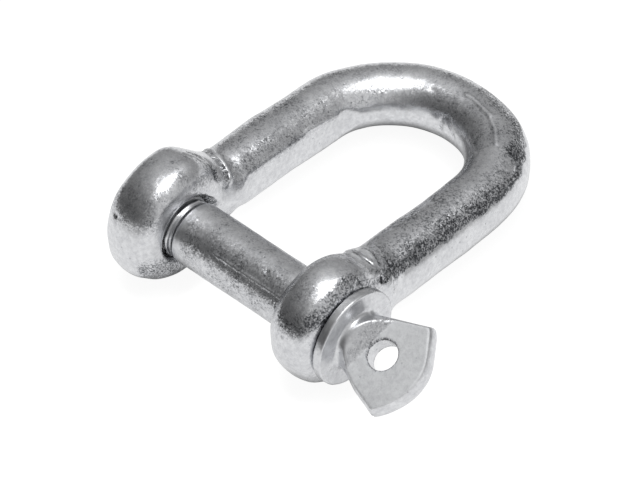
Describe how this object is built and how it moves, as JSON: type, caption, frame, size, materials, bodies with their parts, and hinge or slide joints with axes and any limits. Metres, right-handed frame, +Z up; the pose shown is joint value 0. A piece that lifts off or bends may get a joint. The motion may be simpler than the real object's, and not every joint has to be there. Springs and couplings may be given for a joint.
{
  "type": "screw pin shackle",
  "caption": "Forged D shackle with two eyes and a removable screw pin with a flattened, drilled head, hot-dip galvanised, lying on its side.",
  "frame": {"origin": "on the pin's axis, midway between the outer faces of the two eyes", "axes": "+Y along the pin from its flattened head to its threaded end, +X towards the crown of the bow, +Z up; the bow's plane leans down 5.89 degrees from the pin to the crown, so that the two eyes and the crown touch one level surface"},
  "size_m": [0.0751, 0.0669, 0.0238],
  "materials": {
    "bow_zinc": "hot-dip galvanised, rough forged skin",
    "pin_zinc": "hot-dip galvanised, smoother turned and pressed skin"
  },
  "bodies": {
    "bow": {"bow": "bow_zinc"},
    "pin": {"screw_pin": "pin_zinc"}
  },
  "joints": [
    {"name": "pin_withdraw", "type": "slide", "parent": "bow", "child": "pin", "axis": [0, -1, 0], "range_m": [0, 0.055]}
  ]
}
